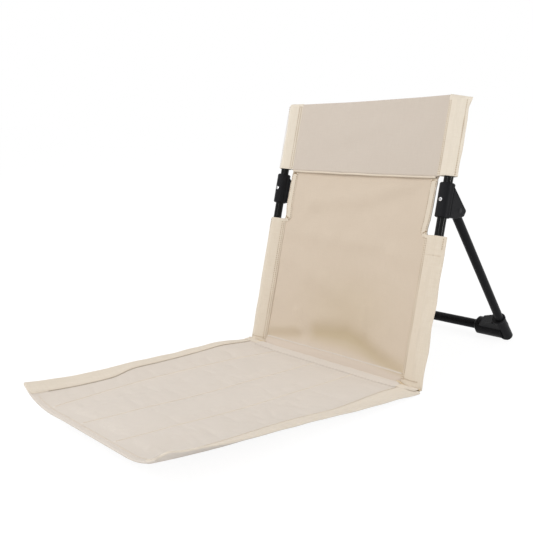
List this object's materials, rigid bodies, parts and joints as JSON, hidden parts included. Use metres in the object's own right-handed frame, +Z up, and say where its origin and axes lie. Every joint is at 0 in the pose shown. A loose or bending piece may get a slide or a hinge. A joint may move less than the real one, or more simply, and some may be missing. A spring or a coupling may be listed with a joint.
{
  "type": "legless folding camping chair",
  "caption": "Legless folding camping chair: a quilted cloth seat mat, a reclined cloth back on steel tubes, and a rear frame that swings out on hinge brackets to prop the back up.",
  "frame": {"origin": "on the floor, under the middle of the open chair's box", "axes": "+Z up; -Y towards the front of the seat; +X to the right as seen from the front"},
  "size_m": [0.4368, 0.8346, 0.4802],
  "materials": {
    "upright_paint": "gloss black enamel on steel tube",
    "strut_paint": "satin black enamel on steel tube",
    "fitting_plastic": "black moulded plastic, finely textured",
    "plug_plastic": "black moulded plastic",
    "rivet_steel": "bright steel",
    "pin_paint": "black finished steel",
    "back_cloth": "plain woven canvas, warm beige",
    "headrest_cloth": "plain woven canvas, greyish beige",
    "sleeve_cloth": "plain woven canvas, cream",
    "binding_tape": "sewn cream tape",
    "seat_cloth": "padded woven canvas, light beige"
  },
  "bodies": {
    "back_frame": {"upright_tube_left": "upright_paint", "upright_tube_right": "upright_paint", "upright_top_plug_left": "plug_plastic", "upright_top_plug_right": "plug_plastic", "upright_foot_plug_left": "plug_plastic", "upright_foot_plug_right": "plug_plastic", "hinge_bracket_left": "fitting_plastic", "hinge_bracket_right": "fitting_plastic", "bracket_rivets": "rivet_steel", "hinge_pin_left": "pin_paint", "hinge_pin_right": "pin_paint", "back_panel": "back_cloth", "headrest_panel": "headrest_cloth", "headrest_hem": "headrest_cloth", "lower_sleeve_left": "sleeve_cloth", "lower_sleeve_right": "sleeve_cloth", "head_sleeve_left": "sleeve_cloth", "head_sleeve_right": "sleeve_cloth", "notch_binding_left": "binding_tape", "notch_binding_right": "binding_tape", "fold_welt": "binding_tape"},
    "rear_frame": {"strut_tube_left": "strut_paint", "strut_tube_right": "strut_paint", "strut_plug_left": "fitting_plastic", "strut_plug_right": "fitting_plastic", "crossbar": "strut_paint", "corner_foot_left": "fitting_plastic", "corner_foot_right": "fitting_plastic"},
    "seat": {"seat_mat": "seat_cloth", "seat_binding_left": "binding_tape", "seat_binding_right": "binding_tape", "seat_front_hem": "binding_tape"}
  },
  "joints": [
    {"name": "rear_frame_fold", "type": "hinge", "parent": "back_frame", "child": "rear_frame", "pos_m": [0, 0.19944, 0.28788], "axis": [-1, 0, 0], "range_deg": [0, 53.5]},
    {"name": "seat_fold", "type": "hinge", "parent": "back_frame", "child": "seat", "pos_m": [0, 0.07045, 0.0076], "axis": [-1, 0, 0], "range_deg": [0, 98]}
  ]
}
